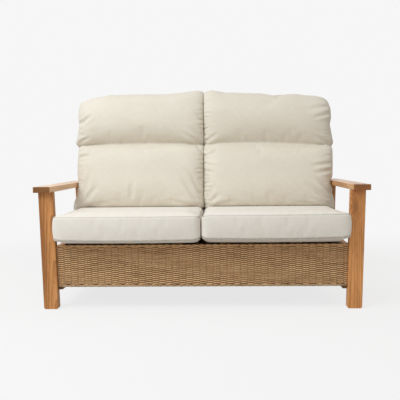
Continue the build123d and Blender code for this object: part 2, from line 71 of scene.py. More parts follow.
def add_node(tree, kind, inputs=None, stops=(), **settings):
    """Adds a shader node with its settings. An input is given a value, an output to be linked to, or
    a node, whose first output is then linked. Stops are the places and colours along a ramp."""
    node = tree.nodes.new("ShaderNode" + kind)
    for key, value in settings.items():
        setattr(node, key, value)
    for key, value in (inputs or {}).items():
        if isinstance(value, bpy.types.Node):
            value = value.outputs[0]
        if isinstance(value, bpy.types.NodeSocket):
            tree.links.new(value, node.inputs[key])
        else:
            node.inputs[key].default_value = value
    if stops:
        first, last = node.color_ramp.elements
        first.position, last.position = stops[0][0], stops[-1][0]
        first.color, last.color = stops[0][1], stops[-1][1]
        for place, colour in stops[1:-1]:
            node.color_ramp.elements.new(place).color = colour
    return node


def new_material(name):
    """A material without nodes, and the function that adds a node to it."""
    material = bpy.data.materials.new(name)
    material.use_nodes = True
    material.node_tree.nodes.clear()
    return material, functools.partial(add_node, material.node_tree)


def pick(*pieces):
    """Leaves edit mode and selects these pieces alone, the first one active."""
    if bpy.context.object and bpy.context.object.mode != "OBJECT":
        bpy.ops.object.mode_set(mode="OBJECT")
    bpy.ops.object.select_all(action="DESELECT")
    for piece in pieces:
        piece.select_set(True)
    if pieces:
        bpy.context.view_layer.objects.active = pieces[0]


def seen_rays(add):
    """1 for the rays on which the plain background is seen, directly or in a gloss."""
    path = add("LightPath").outputs
    both = add("Math", {0: path["Is Camera Ray"], 1: path["Is Glossy Ray"]}, operation="MAXIMUM")
    return add("Math", {0: both, 1: path["Is Transmission Ray"]}, operation="MAXIMUM")


world = bpy.data.worlds.new("pale_studio")
world.use_nodes = True
world.node_tree.nodes.clear()
bpy.context.scene.world = world
add = functools.partial(add_node, world.node_tree)
fill = add("Background", {"Color": fill_colour, "Strength": fill_radiance})
wall = add("Background", {"Color": linear(wall_hex), "Strength": 1.0})
mixed = add("MixShader", {0: seen_rays(add), 1: fill, 2: wall})
add("OutputWorld", {"Surface": mixed})

pick()
bpy.ops.mesh.primitive_plane_add(size=floor_size, location=(0, 0, -floor_gap))
floor = bpy.context.object
floor.name = "studio_floor"
bpy.ops.object.transform_apply()
material, add = new_material("matt_studio_floor")
seen = seen_rays(add)
# Inputs 6 and 7 of a colour mix are its two colours, and output 2 is what it gives
shade = add("Mix", {0: seen, 6: linear(floor_hex), 7: linear(floor_seen_hex)}, data_type="RGBA")
paint = add("BsdfDiffuse", {"Color": shade.outputs[2]})
glow = add("Emission", {"Color": linear(wall_hex), "Strength": 1.0})
far = add("VectorMath", {0: add("TexCoord").outputs["Object"]}, operation="LENGTH")
faded = add("MapRange", {"Value": far.outputs["Value"], "From Min": floor_fade[0],
                         "From Max": floor_fade[1], "To Min": floor_glow, "To Max": 1.0},
            interpolation_type="SMOOTHSTEP")
share = add("Math", {0: seen, 1: faded}, operation="MULTIPLY")
mixed = add("MixShader", {0: share, 1: paint, 2: glow})
add("OutputMaterial", {"Surface": mixed})
floor.data.materials.append(material)

lamp_data = bpy.data.lights.new("wide_lamp", "AREA")
lamp_data.energy = lamp_watts
lamp_data.size = lamp_size
lamp_data.color = lamp_colour
lamp = bpy.data.objects.new("wide_lamp", lamp_data)
lamp.location = lamp_place
aside, ahead, rise = np.subtract(lamp_aim, lamp_place)
lamp.rotation_euler = (math.atan2(math.hypot(aside, ahead), -rise), 0, math.atan2(-aside, ahead))
bpy.context.collection.objects.link(lamp)

# The camera stands in front of the sofa, a little right of its middle and a little below the height
# of the cushion channels, with a slight turn to the left and down, as the photograph was taken.
camera_place = (0.0909272, -3.3229418, 0.6919322)
camera_yaw = 0.0321
camera_pitch = 0.0635
camera_roll = 0.0101
camera_lens = 58.0345
sensor_width = 36.0

c_yaw, s_yaw = math.cos(camera_yaw), math.sin(camera_yaw)
c_pitch, s_pitch = math.cos(camera_pitch), math.sin(camera_pitch)
c_roll, s_roll = math.cos(camera_roll), math.sin(camera_roll)
forward = np.array((-s_yaw * c_pitch, c_yaw * c_pitch, -s_pitch))
right = np.array((c_yaw, s_yaw, 0.0))
up = np.array((-s_yaw * s_pitch, c_yaw * s_pitch, c_pitch))
right, up = c_roll * right - s_roll * up, s_roll * right + c_roll * up
camera_data = bpy.data.cameras.new("front_camera")
camera_data.lens = camera_lens
camera_data.sensor_width = sensor_width
camera = bpy.data.objects.new("front_camera", camera_data)
turned = np.eye(4)
turned[:3, 0], turned[:3, 1], turned[:3, 2], turned[:3, 3] = right, up, -forward, camera_place
camera.matrix_world = turned.T.tolist()
bpy.context.collection.objects.link(camera)
bpy.context.scene.camera = camera
bpy.context.scene.view_settings.view_transform = "Standard"

# Side frames
# Posts, arm boards and side rails are solid oak, planed, eased along their edges, tenoned together
# and oiled. Each board is cut from its own place in the log, so its rings, cathedrals and end grain
# differ.

quarter_turn = math.pi / 2
wave_repeat = 0.314    # a wave texture of scale 1 repeats after this length
oak_tones = ("#E2A96A", "#CC9055", "#9A6735")
oak_tone_stops = (0.42, 0.72, 1.0)
ring_width = 0.0068
ring_draw = 0.09       # rings and fibres are drawn out along the grain to this share
fibre_draw = 0.02
figure_size = 0.04545
tracheid_width = 0.0013
pore_width = 0.0016
pore_cut = (0.62, 0.74)
ring_share, figure_share, fibre_share = 0.28, 1.08, 0.28
worn_edge = (0.97, 1.06)
end_grain_tint = (0.37, 0.28, 0.15)
oil_rough = (0.44, 0.60)
polished_rough = (0.24, 0.34)
knot_hex = "#8A5A2E"
knot_push = 0.03       # how far the fibres bend round a knot
knot_flow = (1, 1, 0.55)
knot_form = (1, 1, 0.42)
knot_heart = (0.12, 0.36)
knot_strength = 0.62


def weighed(add, base, *parts):
    """A base value and some parts, each times its share, added up."""
    for part, share in parts:
        base = add("Math", {0: part, 1: share, 2: base}, operation="MULTIPLY_ADD")
    return base


def distance(add, place, point, weight):
    """How far a place lies from a point, with a weight for each direction."""
    away = add("VectorMath", {0: place, 1: point}, operation="SUBTRACT")
    away = add("VectorMath", {0: away, 1: weight}, operation="MULTIPLY")
    return add("VectorMath", {0: away}, operation="LENGTH").outputs["Value"]


def oiled_oak(name, grain, pith, tilt, tones=oak_tones, knots=(), rough=oil_rough, end=end_grain_tint):
    """Planed oiled oak: rings about a pith line that runs a little askew of the board's length,
    with darker late wood, fine fibres and pores drawn out along the grain, and a satin oil finish."""
    light, mid, dark = map(linear, tones)
    material, add = new_material(name)
    turn = {"X": (0, quarter_turn, 0), "Y": (quarter_turn, 0, 0), "Z": (0, 0, 0)}[grain]
    along = add("Mapping", {"Vector": add("TexCoord").outputs["Object"], "Rotation": turn})
    place = add("Mapping", {"Vector": along, "Location": pith, "Rotation": (tilt[0], tilt[1], 0)})
    for *stub, reach in knots:
        # The fibres flow round the stub of a branch
        far = distance(add, along, stub, knot_flow)
        near = add("MapRange", {"Value": far, "From Min": 0.0, "From Max": reach, "To Min": 1.0,
                                "To Max": 0.0}, interpolation_type="SMOOTHSTEP")
        shift = add("VectorMath", {0: (0.0, knot_push, 0.0), "Scale": near}, operation="SCALE")
        place = add("VectorMath", {0: place, 1: shift}, operation="ADD")
    drawn = add("Mapping", {"Vector": place, "Scale": (1, 1, ring_draw)})
    rings = add("TexWave", {"Vector": drawn, "Scale": wave_repeat / ring_width, "Distortion": 5.0,
                            "Detail": 2.0, "Detail Scale": 0.35, "Detail Roughness": 0.55},
                wave_type="RINGS", rings_direction="Z", wave_profile="SAW").outputs["Fac"]
    streak = add("Mapping", {"Vector": place, "Scale": (1, 1, fibre_draw)})
    fibres = add("TexNoise", {"Vector": streak, "Scale": 1 / tracheid_width, "Detail": 3.0,
                              "Roughness": 0.6})
    figure = add("TexNoise", {"Vector": drawn, "Scale": 1 / figure_size, "Detail": 3.0,
                              "Roughness": 0.55})
    pores = add("TexNoise", {"Vector": streak, "Scale": 1 / pore_width, "Detail": 1.0})
    pore = add("MapRange", {"Value": pores, "From Min": pore_cut[0], "From Max": pore_cut[1]})
    tone = weighed(add, 0.0, (rings, ring_share), (figure, figure_share), (fibres, fibre_share))
    ramp = add("ValToRGB", {"Fac": tone}, stops=list(zip(oak_tone_stops, (light, mid, dark))))
    shown = add("Mix", {0: pore, 6: ramp, 7: dark}, data_type="RGBA").outputs[2]
    for *stub, reach in knots:
        far = distance(add, along, stub, knot_form)
        near = add("MapRange", {"Value": far, "From Min": knot_heart[0] * reach,
                                "From Max": knot_heart[1] * reach, "To Min": knot_strength, "To Max": 0.0})
        shown = add("Mix", {0: near, 6: shown, 7: linear(knot_hex)}, data_type="RGBA").outputs[2]
    # End grain drinks the oil and is much darker, and edges worn by hands are a little paler
    geometry = add("NewGeometry").outputs
    length_axis = tuple(float(grain == axis) for axis in "XYZ")
    facing = add("VectorMath", {0: geometry["True Normal"], 1: length_axis}, operation="DOT_PRODUCT")
    facing = add("Math", {0: facing.outputs["Value"]}, operation="ABSOLUTE")
    cut_end = add("MapRange", {"Value": facing, "From Min": 0.8, "From Max": 0.95})
    soaked = add("VectorMath", {0: shown, 1: end}, operation="MULTIPLY")
    shown = add("Mix", {0: cut_end, 6: shown, 7: soaked}, data_type="RGBA").outputs[2]
    lift = add("MapRange", {"Value": geometry["Pointiness"], "From Min": 0.48, "From Max": 0.56,
                            "To Min": worn_edge[0], "To Max": worn_edge[1]})
    worn = add("VectorMath", {0: shown, "Scale": lift}, operation="SCALE")
    relief = weighed(add, pore, (fibres, 0.6))
    bump = add("Bump", {"Height": relief, "Strength": 0.25, "Distance": 0.0004})
    gloss = add("MapRange", {"Value": figure, "From Min": 0.3, "From Max": 0.7,
                             "To Min": rough[0], "To Max": rough[1]})
    shader = add("BsdfPrincipled", {"Base Color": worn, "Roughness": gloss, "Normal": bump, "IOR": 1.5})
    add("OutputMaterial", {"Surface": shader})
    return material


def finish_node(name, material):
    """Gives a CAD piece its finish in place of the plain one that it was loaded with."""
    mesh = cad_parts[name].data
    mesh.materials.clear()
    mesh.materials.append(material)
    mesh.polygons.foreach_set("material_index", [0] * len(mesh.polygons))
    mesh.update()


# For each board: the way its grain runs, the step that brings the middle of its log to the origin
# once the grain is upright, and how far the log leans against the board
board_log = {
    "front_post_left": ("Z", (0.67, 0.31, 0.2), (0.034, 0.030)),
    "front_post_right": ("Z", (-0.66, 0.29, -0.3), (-0.030, 0.036)),
    "rear_post_left": ("Z", (0.74, -0.34, 0.4), (0.008, -0.015)),
    "rear_post_right": ("Z", (-0.65, -0.31, 0.9), (0.011, 0.010)),
    "arm_board_left": ("Y", (0.72, -0.48, 0.1), (0.020, 0.012)),
    "arm_board_right": ("Y", (-0.70, -0.45, 0.5), (-0.016, 0.018)),
    "side_rail_left": ("Y", (0.66, -0.15, 0.7), (0.012, -0.013)),
    "side_rail_right": ("Y", (-0.76, -0.17, 0.3), (0.015, 0.012)),
}
# The arm boards are from paler logs, and the front posts from redder ones
board_tones = {
    "arm_board_left": ("#F1C99C", "#E1B180", "#B38655"),
    "arm_board_right": ("#E4B580", "#D29C64", "#A27040"),
    "front_post_left": ("#E0A466", "#C98A4E", "#97602E"),
    "front_post_right": ("#F0B172", "#DB9959", "#A76A37"),
}
board_end = {"arm_board_left": (0.300, 0.205, 0.080), "arm_board_right": (0.450, 0.294, 0.095)}
# One small knot: its place along the board's own axes, and how far the grain bends round it
board_knots = {"front_post_right": [(0.703, -0.377, 0.470, 0.050)]}
for node, (grain, pith, tilt) in board_log.items():
    # Hands have polished the arms
    rough = polished_rough if "arm" in node else oil_rough
    finish_node(node, oiled_oak("oiled_oak_" + node, grain, pith, tilt, board_tones.get(node, oak_tones),
                                board_knots.get(node, ()), rough, board_end.get(node, end_grain_tint)))

# Seat box
# The hidden box under the seat is sawn beech, stained brown so that it stays dark behind the weave.
# Bearers and rails are screwed to corner posts, and the whole box is screwed between the side frames.

beech_light_hex = "#8E6A48"
beech_dark_hex = "#6E4E33"
saw_mark = 0.003846
beech_figure = 0.0333
beech_draw = 0.06


def sawn_beech(name, grain):
    """Sawn stained beech: even and short-grained, with faint saw marks and a dry surface."""
    material, add = new_material(name)
    scale = tuple(beech_draw if grain == axis else 1 for axis in "XYZ")
    drawn = add("Mapping", {"Vector": add("TexCoord").outputs["Object"], "Scale": scale})
    grainy = add("TexNoise", {"Vector": drawn, "Scale": 1 / saw_mark, "Detail": 4.0, "Roughness": 0.6})
    broad = add("TexNoise", {"Vector": drawn, "Scale": 1 / beech_figure, "Detail": 2.0})
    ramp = add("ValToRGB", {"Fac": weighed(add, broad, (grainy, 0.5))},
               stops=((0.55, linear(beech_dark_hex)), (0.95, linear(beech_light_hex))))
    bump = add("Bump", {"Height": grainy, "Strength": 0.4, "Distance": 0.0006})
    shader = add("BsdfPrincipled", {"Base Color": ramp, "Roughness": 0.75, "Normal": bump, "IOR": 1.45})
    add("OutputMaterial", {"Surface": shader})
    return material


for grain, nodes in {
    "X": ("front_seat_rail", "front_lower_rail", "rear_seat_rail", "rear_lower_rail"),
    "Y": ("side_bearer_left", "side_bearer_right", "side_lower_rail_left", "side_lower_rail_right",
          "centre_bearer"),
    "Z": ("front_corner_post_left", "front_corner_post_right", "rear_corner_post_left",
          "rear_corner_post_right"),
}.items():
    beech = sawn_beech("sawn_stained_beech_" + grain.lower(), grain)
    for node in nodes:
        finish_node(node, beech)

# Woven skirts
# Peeled rattan core, stained honey brown: flat-sided weavers pass before two upright stakes and behind
# two, each row the other way about. A twisted pair of canes binds the top and bottom edges, and the
# panels are held by the posts and rails of the seat box.

stake_pitch = 0.0158
row_pitch = 0.00484
stake_radius = 0.0010
strand_sides = 6
weaver_half_thickness = 0.0024
weaver_half_height = 0.0037
weave_swing = 0.0025
weave_dip = 0.35
period = 4             # stakes in one repeat of the weave
strand_drift = 9.0     # how quickly the shade of a strand changes along it
strand_step = 7.31     # an uneven step, so that no two rows share a shade
patch_size = 0.01667
speck_size = 0.00303
# Painted shade, strongest on the most sunk parts of the strands
painted_sunk_shade = 0.60
rattan_tones = ("#FACF9C", "#DFB07E", "#A37650")
rattan_tone_stops = (0.36, 0.6, 0.86)
strand_share, patch_share, speck_share = 0.62, 0.30, 0.30


def rattan(name, turn=(0, 0, 0), tones=rattan_tones):
    """Stained rattan core: every row of weaver has its own shade, with dark specks of stain along it,
    fine fibres, and the half gloss of a thin varnish."""
    light, mid, dark = map(linear, tones)
    material, add = new_material(name)
    place = add("Mapping", {"Vector": add("TexCoord").outputs["Object"], "Rotation": turn})
    row = add("SeparateXYZ", {0: place}).outputs["Z"]
    row = add("Math", {0: row, 1: row_pitch}, operation="DIVIDE")
    row = add("Math", {0: row}, operation="FLOOR")
    drift = add("VectorMath", {0: place, 1: (strand_drift, strand_drift, 0)}, operation="MULTIPLY")
    strand = add("CombineXYZ", {2: row})
    strand = add("VectorMath", {0: strand, 1: (0, 0, strand_step), 2: drift}, operation="MULTIPLY_ADD")
    shade = add("TexNoise", {"Vector": strand, "Scale": 1.0, "Detail": 2.0, "Roughness": 0.6})
    patch = add("TexNoise", {"Vector": place, "Scale": 1 / patch_size, "Detail": 3.0, "Roughness": 0.65})
    speck = add("TexNoise", {"Vector": place, "Scale": 1 / speck_size, "Detail": 2.0, "Roughness": 0.7})
    # Painted shade: the strands are darkened where they sink between the stakes and in under their
    # neighbours
    depth = add("AmbientOcclusion", {"Distance": weave_swing * 2}, samples=4, only_local=True)
    painted_occlusion_shade = add("MapRange", {"Value": depth.outputs["AO"], "From Min": 0.35, "From Max": 0.95,
                                  "To Min": 0.62, "To Max": 1.0})
    level = add("Attribute", attribute_name="sunk")
    level = add("MapRange", {"Value": level.outputs["Fac"], "From Min": 0.03, "From Max": 0.6,
                             "To Min": 1.0, "To Max": painted_sunk_shade})
    sunk = add("Math", {0: painted_occlusion_shade, 1: level}, operation="MULTIPLY")
    tone = weighed(add, 0.0, (shade, strand_share), (patch, patch_share), (speck, speck_share))
    ramp = add("ValToRGB", {"Fac": tone}, stops=list(zip(rattan_tone_stops, (dark, mid, light))))
    shown = add("VectorMath", {0: ramp, "Scale": sunk}, operation="SCALE")
    bump = add("Bump", {"Height": speck, "Strength": 0.3, "Distance": 0.0003})
    shader = add("BsdfPrincipled", {"Base Color": shown, "Roughness": 0.6, "Normal": bump, "IOR": 1.45})
    add("OutputMaterial", {"Surface": shader})
    return material


def edit(piece):
    """Opens a piece in edit mode with all of it selected."""
    pick(piece)
    bpy.ops.object.mode_set(mode="EDIT")
    bpy.ops.mesh.select_all(action="SELECT")


def turn_outwards():
    """Makes all faces of the piece in edit mode point outwards, and leaves edit mode."""
    bpy.ops.mesh.select_all(action="SELECT")
    bpy.ops.mesh.normals_make_consistent(inside=False)
    bpy.ops.object.mode_set(mode="OBJECT")


def array(piece, count, step, merge=False):
    """Repeats a mesh in even steps."""
    repeat = piece.modifiers.new("repeat", "ARRAY")
    repeat.use_relative_offset = False
    repeat.use_constant_offset = True
    repeat.constant_offset_displace = step
    repeat.count = count
    repeat.use_merge_vertices = merge
    repeat.merge_threshold = 1e-5
    pick(piece)
    bpy.ops.object.modifier_apply(modifier=repeat.name)


def read(items, key, width=3, kind=float):
    """One row of numbers for each point, normal or edge of a mesh."""
    flat = np.empty(width * len(items), kind)
    items.foreach_get(key, flat)
    return flat.reshape(-1, width)


def points_of(piece):
    return read(piece.data.vertices, "co")


def shift_mesh(piece, step):
    edit(piece)
    bpy.ops.transform.translate(value=step)
    bpy.ops.object.mode_set(mode="OBJECT")


def turn_mesh(piece, angle, axis, step):
    """Turns a mesh about a line through the origin, then moves it."""
    pick(piece)
    piece.rotation_euler["XYZ".index(axis)] = angle
    bpy.ops.object.transform_apply()
    piece.location = step
    bpy.ops.object.transform_apply()


def trim(piece, point, normal):
    """Cuts off what lies beyond a plane and closes the cut ends."""
    edit(piece)
    bpy.ops.mesh.bisect(plane_co=point, plane_no=normal, use_fill=True, clear_outer=True)
    turn_outwards()


def swing(reach):
    """How far a weaver stands before or behind the stakes, at a distance counted in stakes. It passes
    before two stakes and behind two, and is drawn in a little between the two."""
    turn = reach % period
    sign = 1 if turn < 1.5 or turn > 3.5 else -1
    crosses = 1 < turn < 2 or turn > 3
    held = abs(math.cos(math.pi * min(abs(turn - stake) for stake in range(period + 1))))
    return sign * weave_swing * (held if crosses else 1 - weave_dip * (1 - held))


def woven_panel(name, width, height, steps):
    """A flat woven panel in the XZ plane, its middle over the origin and its lower edge at z 0. Each
    weaver takes a number of steps from stake to stake."""
    stakes = int(math.ceil(width / stake_pitch / period)) * period + period
    rows = int(round(height / row_pitch))
    pick()
    bpy.ops.mesh.primitive_circle_add(vertices=strand_sides, radius=1.0, rotation=(0, quarter_turn, 0),
                                      fill_type="NOTHING")
    even = bpy.context.object
    bpy.ops.object.transform_apply()
    edit(even)
    bpy.ops.transform.resize(value=(1, weaver_half_thickness, weaver_half_height))
    bpy.ops.transform.translate(value=(0, -swing(0), 0))
    for k in range(period * steps):
        step = (stake_pitch / steps, swing(k / steps) - swing((k + 1) / steps), 0)
        bpy.ops.mesh.extrude_region_move(TRANSFORM_OT_translate={"value": step})
    bpy.ops.object.mode_set(mode="OBJECT")
    start = -stakes / 2 * stake_pitch
    array(even, stakes // period, (period * stake_pitch, 0, 0), merge=True)
    shift_mesh(even, (start, 0, row_pitch / 2))
    bpy.ops.object.duplicate()
    odd = bpy.context.object
    shift_mesh(odd, (-period / 2 * stake_pitch, 0, row_pitch))
    array(even, (rows + 1) // 2, (0, 0, 2 * row_pitch))
    array(odd, rows // 2, (0, 0, 2 * row_pitch))
    pick()
    bpy.ops.mesh.primitive_cylinder_add(vertices=strand_sides, radius=stake_radius, depth=height,
                                        location=(start, 0, height / 2), end_fill_type="NGON")
    stake = bpy.context.object
    bpy.ops.object.transform_apply()
    array(stake, stakes, (stake_pitch, 0, 0))
    pick(even, odd, stake)
    bpy.ops.object.join()
    even.name = even.data.name = name
    # How far a point lies behind the crown of a strand
    sunk = even.data.attributes.new("sunk", "FLOAT", "POINT")
    outward = np.abs(points_of(even)[:, 1])
    sunk.data.foreach_set("value", 1 - outward / (weave_swing + weaver_half_thickness))
    return even


def dress(piece, body, slot, material, *nodes, smooth_faces=True):
    """Hangs a finished piece on its body, gives it its finish and hides the CAD pieces it stands for."""
    if smooth_faces:
        pick(piece)
        bpy.ops.object.shade_smooth()
    piece.data.materials.clear()
    piece.data.materials.append(material)
    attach(piece, body)
    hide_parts(*nodes)


def size_and_middle(node):
    low, high = map(np.array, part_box(node))
    return high - low, (low + high) / 2


post_lean = math.radians(1.575)
post_slope = math.tan(post_lean)
end_gap = 0.0002
side_panel_share = 0.9998   # of its CAD length, so that it clears the corner
trim_waste = 0.02
rattan_cane = rattan("stained_rattan_core")

for side, steps in (("front", 4), ("rear", 3)):
    node = side + "_skirt_weave"
    low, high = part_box(node)
    panel = woven_panel(side + "_woven_skirt", high[0] - low[0], high[2] - low[2], steps)
    shift_mesh(panel, (0, (low[1] + high[1]) / 2, low[2]))
    for sign in (-1, 1):
        # The ends butt against the leaning posts
        trim(panel, (sign * (high[0] - end_gap), 0, high[2]), (sign, 0, -post_slope))
    dress(panel, "frame", "rattan_weave", rattan_cane, node)

for side, sign in (("left", -1), ("right", 1)):
    node = "side_skirt_weave_" + side
    (_, length, height), (x, y, z) = size_and_middle(node)
    panel = woven_panel("side_woven_skirt_" + side, length + trim_waste, height, 3)
    for end in (-1, 1):
        trim(panel, (end * length / 2 * side_panel_share, 0, 0), (end, 0, 0))
    turn_mesh(panel, quarter_turn, "Z", (0, 0, 0))
    turn_mesh(panel, sign * post_lean, "Y", (x - sign * height / 2 * post_slope, y, z - height / 2))
    dress(panel, "frame", "rattan_weave", rattan_cane, node)

# The borders are two canes laid side by side and twisted about each other
border_twist = 0.064
cane_radius = 0.0034
cane_sides = 8
cane_offset = 0.0026
cane_step = 0.008
border_gap = 0.001     # short of the posts, over both ends
rear_bottom_gap = 0.006
rear_border_half = 0.006


def twisted_border(name, length, place, along):
    """A pair of twisted canes centred at a place, along X or Y."""
    steps = int(length / cane_step)
    canes = []
    for sign in (-1, 1):
        pick()
        bpy.ops.mesh.primitive_circle_add(vertices=cane_sides, radius=cane_radius,
                                          rotation=(0, quarter_turn, 0), fill_type="NGON")
        cane = bpy.context.object
        bpy.ops.object.transform_apply()
        edit(cane)
        bpy.ops.transform.translate(value=(-length / 2, 0, sign * cane_offset))
        for _ in range(steps):
            bpy.ops.mesh.extrude_region_move(TRANSFORM_OT_translate={"value": (length / steps, 0, 0)})
        turn_outwards()
        canes.append(cane)
    pick(*canes)
    border = canes[0]
    bpy.ops.object.join()
    border.name = border.data.name = name
    twist = border.modifiers.new("twist", "SIMPLE_DEFORM")
    twist.deform_method = "TWIST"
    twist.deform_axis = "X"
    twist.angle = 2 * math.pi * length / border_twist
    bpy.ops.object.modifier_apply(modifier=twist.name)
    turn_mesh(border, quarter_turn if along == "Y" else 0.0, "Z", place)
    return border


border_cane = rattan("stained_rattan_border", tones=("#E9CCA2", "#C5A47C", "#8E6A48"))
for level, cane in (("top", rattan_cane), ("bottom", border_cane)):
    node = "front_skirt_%s_border" % level
    size, middle = size_and_middle(node)
    border = twisted_border("front_twisted_%s_border" % level, size[0] - border_gap, middle, "X")
    dress(border, "frame", "rattan_border", cane, node)
size, middle = size_and_middle("rear_skirt_borders")
for level, sign, gap in (("bottom", -1, rear_bottom_gap), ("top", 1, border_gap)):
    place = (middle[0], middle[1], middle[2] + sign * (size[2] / 2 - rear_border_half))
    border = twisted_border("rear_twisted_%s_border" % level, size[0] - gap, place, "X")
    dress(border, "frame", "rattan_border", border_cane, "rear_skirt_borders")
for side in ("left", "right"):
    node = "side_skirt_border_" + side
    size, middle = size_and_middle(node)
    border = twisted_border("side_twisted_border_" + side, size[1] - border_gap, middle, "Y")
    dress(border, "frame", "rattan_border", border_cane, node)

# Back frame
# The leaning back frame is oiled oak like the side frames, with a woven rattan panel let into each
# half. Zinc-plated coach screws hold it to the cross rail and to the seat box.

back_lean = math.radians(10.0)
panel_gap = 0.004
back_panel_share = 0.9997
for node, grain, pith, tilt in (
    ("back_top_rail", "X", (-0.9, -0.05, 0.3), (0.012, 0.016)),
    ("back_bottom_rail", "X", (-0.25, -0.02, 0.6), (0.010, -0.012)),
    ("back_cross_rail", "X", (-0.42, -0.1, 0.1), (-0.014, 0.012)),
    # The grain of the uprights follows their lean
    ("back_stile_left", "Z", (0.60, -0.33, 0.8), (back_lean + 0.010, 0.013)),
    ("back_stile_right", "Z", (-0.60, -0.34, 0.5), (back_lean + 0.012, -0.010)),
    ("back_centre_upright", "Z", (0.05, -0.31, 0.2), (back_lean - 0.010, 0.012)),
):
    finish_node(node, oiled_oak("oiled_oak_" + node, grain, pith, tilt))

back_cane = rattan("stained_rattan_back", turn=(back_lean, 0, 0))
for side in ("left", "right"):
    node = "back_weave_" + side
    (width, _, height), (x, _, _) = size_and_middle(node)
    low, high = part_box(node)
    panel = woven_panel("back_woven_panel_" + side, width, height / math.cos(back_lean), 3)
    for end in (-1, 1):
        trim(panel, (end * width / 2 * back_panel_share, 0, 0), (end, 0, 0))
    turn_mesh(panel, -back_lean, "X", (x, low[1] + panel_gap, low[2]))
    dress(panel, "frame", "rattan_weave", back_cane, node)

# Fasteners
# Steel coach screws with hexagon heads, zinc-plated: pale, slightly yellow grey, with the soft
# spangle that the plating bath leaves. They hold the seat box between the side frames, and the back
# frame to the box and the cross rail.

spangle = 0.002
material, add = new_material("zinc_plated_steel")
cloudy = add("TexNoise", {"Vector": add("TexCoord").outputs["Object"], "Scale": 1 / spangle, "Detail": 3.0})
ramp = add("ValToRGB", {"Fac": cloudy}, stops=((0.3, linear("#A9AAA6")), (0.7, linear("#C9C9C3"))))
rough = add("MapRange", {"Value": cloudy, "To Min": 0.3, "To Max": 0.5})
shader = add("BsdfPrincipled", {"Base Color": ramp, "Metallic": 1.0, "Roughness": rough})
add("OutputMaterial", {"Surface": shader})
for node in ("seat_box_coach_screws", "back_frame_coach_screws"):
    finish_node(node, material)

# Webbing
# Elastic straps of polyester woven over rubber, brown, with thicker selvedges. They are stretched
# from the front seat rail to the rear one and stapled, and they carry the seat cushions.

strap_count = 12
strap_width = 0.060
strap_thickness = 0.0020
selvedge = 0.0035
selvedge_rise = 0.0005
strap_lift = 0.0001
warp_spacing = 0.004
weft_spacing = 0.003

material, add = new_material("woven_elastic_webbing")
place = add("TexCoord").outputs["Object"]
warp, weft = (add("TexWave", {"Vector": place, "Scale": wave_repeat / spacing, "Distortion": 0.4},
                  wave_type="BANDS", bands_direction=axis).outputs["Fac"]
              for spacing, axis in ((warp_spacing, "X"), (weft_spacing, "Y")))
cross = add("Math", {0: warp, 1: weft}, operation="MULTIPLY")
ramp = add("ValToRGB", {"Fac": cross}, stops=((0.0, linear("#4A3A2C")), (1.0, linear("#7C6650"))))
bump = add("Bump", {"Height": cross, "Strength": 0.5, "Distance": 0.0006})
shader = add("BsdfPrincipled", {"Base Color": ramp, "Roughness": 0.85, "Normal": bump})
add("OutputMaterial", {"Surface": shader})

low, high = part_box("seat_webbing")
pick()
bpy.ops.mesh.primitive_cube_add(size=1, location=(0.5, 0.5, 0.5))
strap = bpy.context.object
strap.name = strap.data.name = "elastic_webbing_straps"
bpy.ops.object.transform_apply()
edit(strap)
bpy.ops.transform.resize(value=(strap_width, high[1] - low[1], strap_thickness), center_override=(0, 0, 0))
for across in (selvedge, 2 * selvedge, strap_width - 2 * selvedge, strap_width - selvedge):
    bpy.ops.mesh.select_all(action="SELECT")
    bpy.ops.mesh.bisect(plane_co=(across, 0, 0), plane_no=(1, 0, 0))
bpy.ops.mesh.select_all(action="SELECT")
bpy.ops.transform.translate(value=(low[0], low[1], low[2] + strap_lift))
bpy.ops.object.mode_set(mode="OBJECT")
for vertex in strap.data.vertices:
    between = selvedge * 1.5 < vertex.co.x - low[0] < strap_width - selvedge * 1.5
    if between and vertex.co.z > low[2] + strap_thickness / 2:
        vertex.co.z -= selvedge_rise
array(strap, strap_count, ((high[0] - low[0] - strap_width) / (strap_count - 1), 0, 0))
edit(strap)
turn_outwards()
dress(strap, "frame", "webbing", material, "seat_webbing", smooth_faces=False)

# Seat cushions
# Two boxed foam cushions in a cream canvas cover: a crowned top panel, a band all round, and a flat
# underside, joined by corded seams. They lie loose on the webbing, side by side.

canvas_tone_stops = (0.40, 0.68, 0.98)
thread_spacing = 0.0024
slub_spacing = 0.003667
wash_size = 0.111
slub_draw = 0.12
wash_base, wash_share, slub_share, thread_share = 0.20, 0.28, 0.35, -0.10
# Painted shade and dust of the stitched grooves
groove_shade_and_dust_hex = "#8F8778"


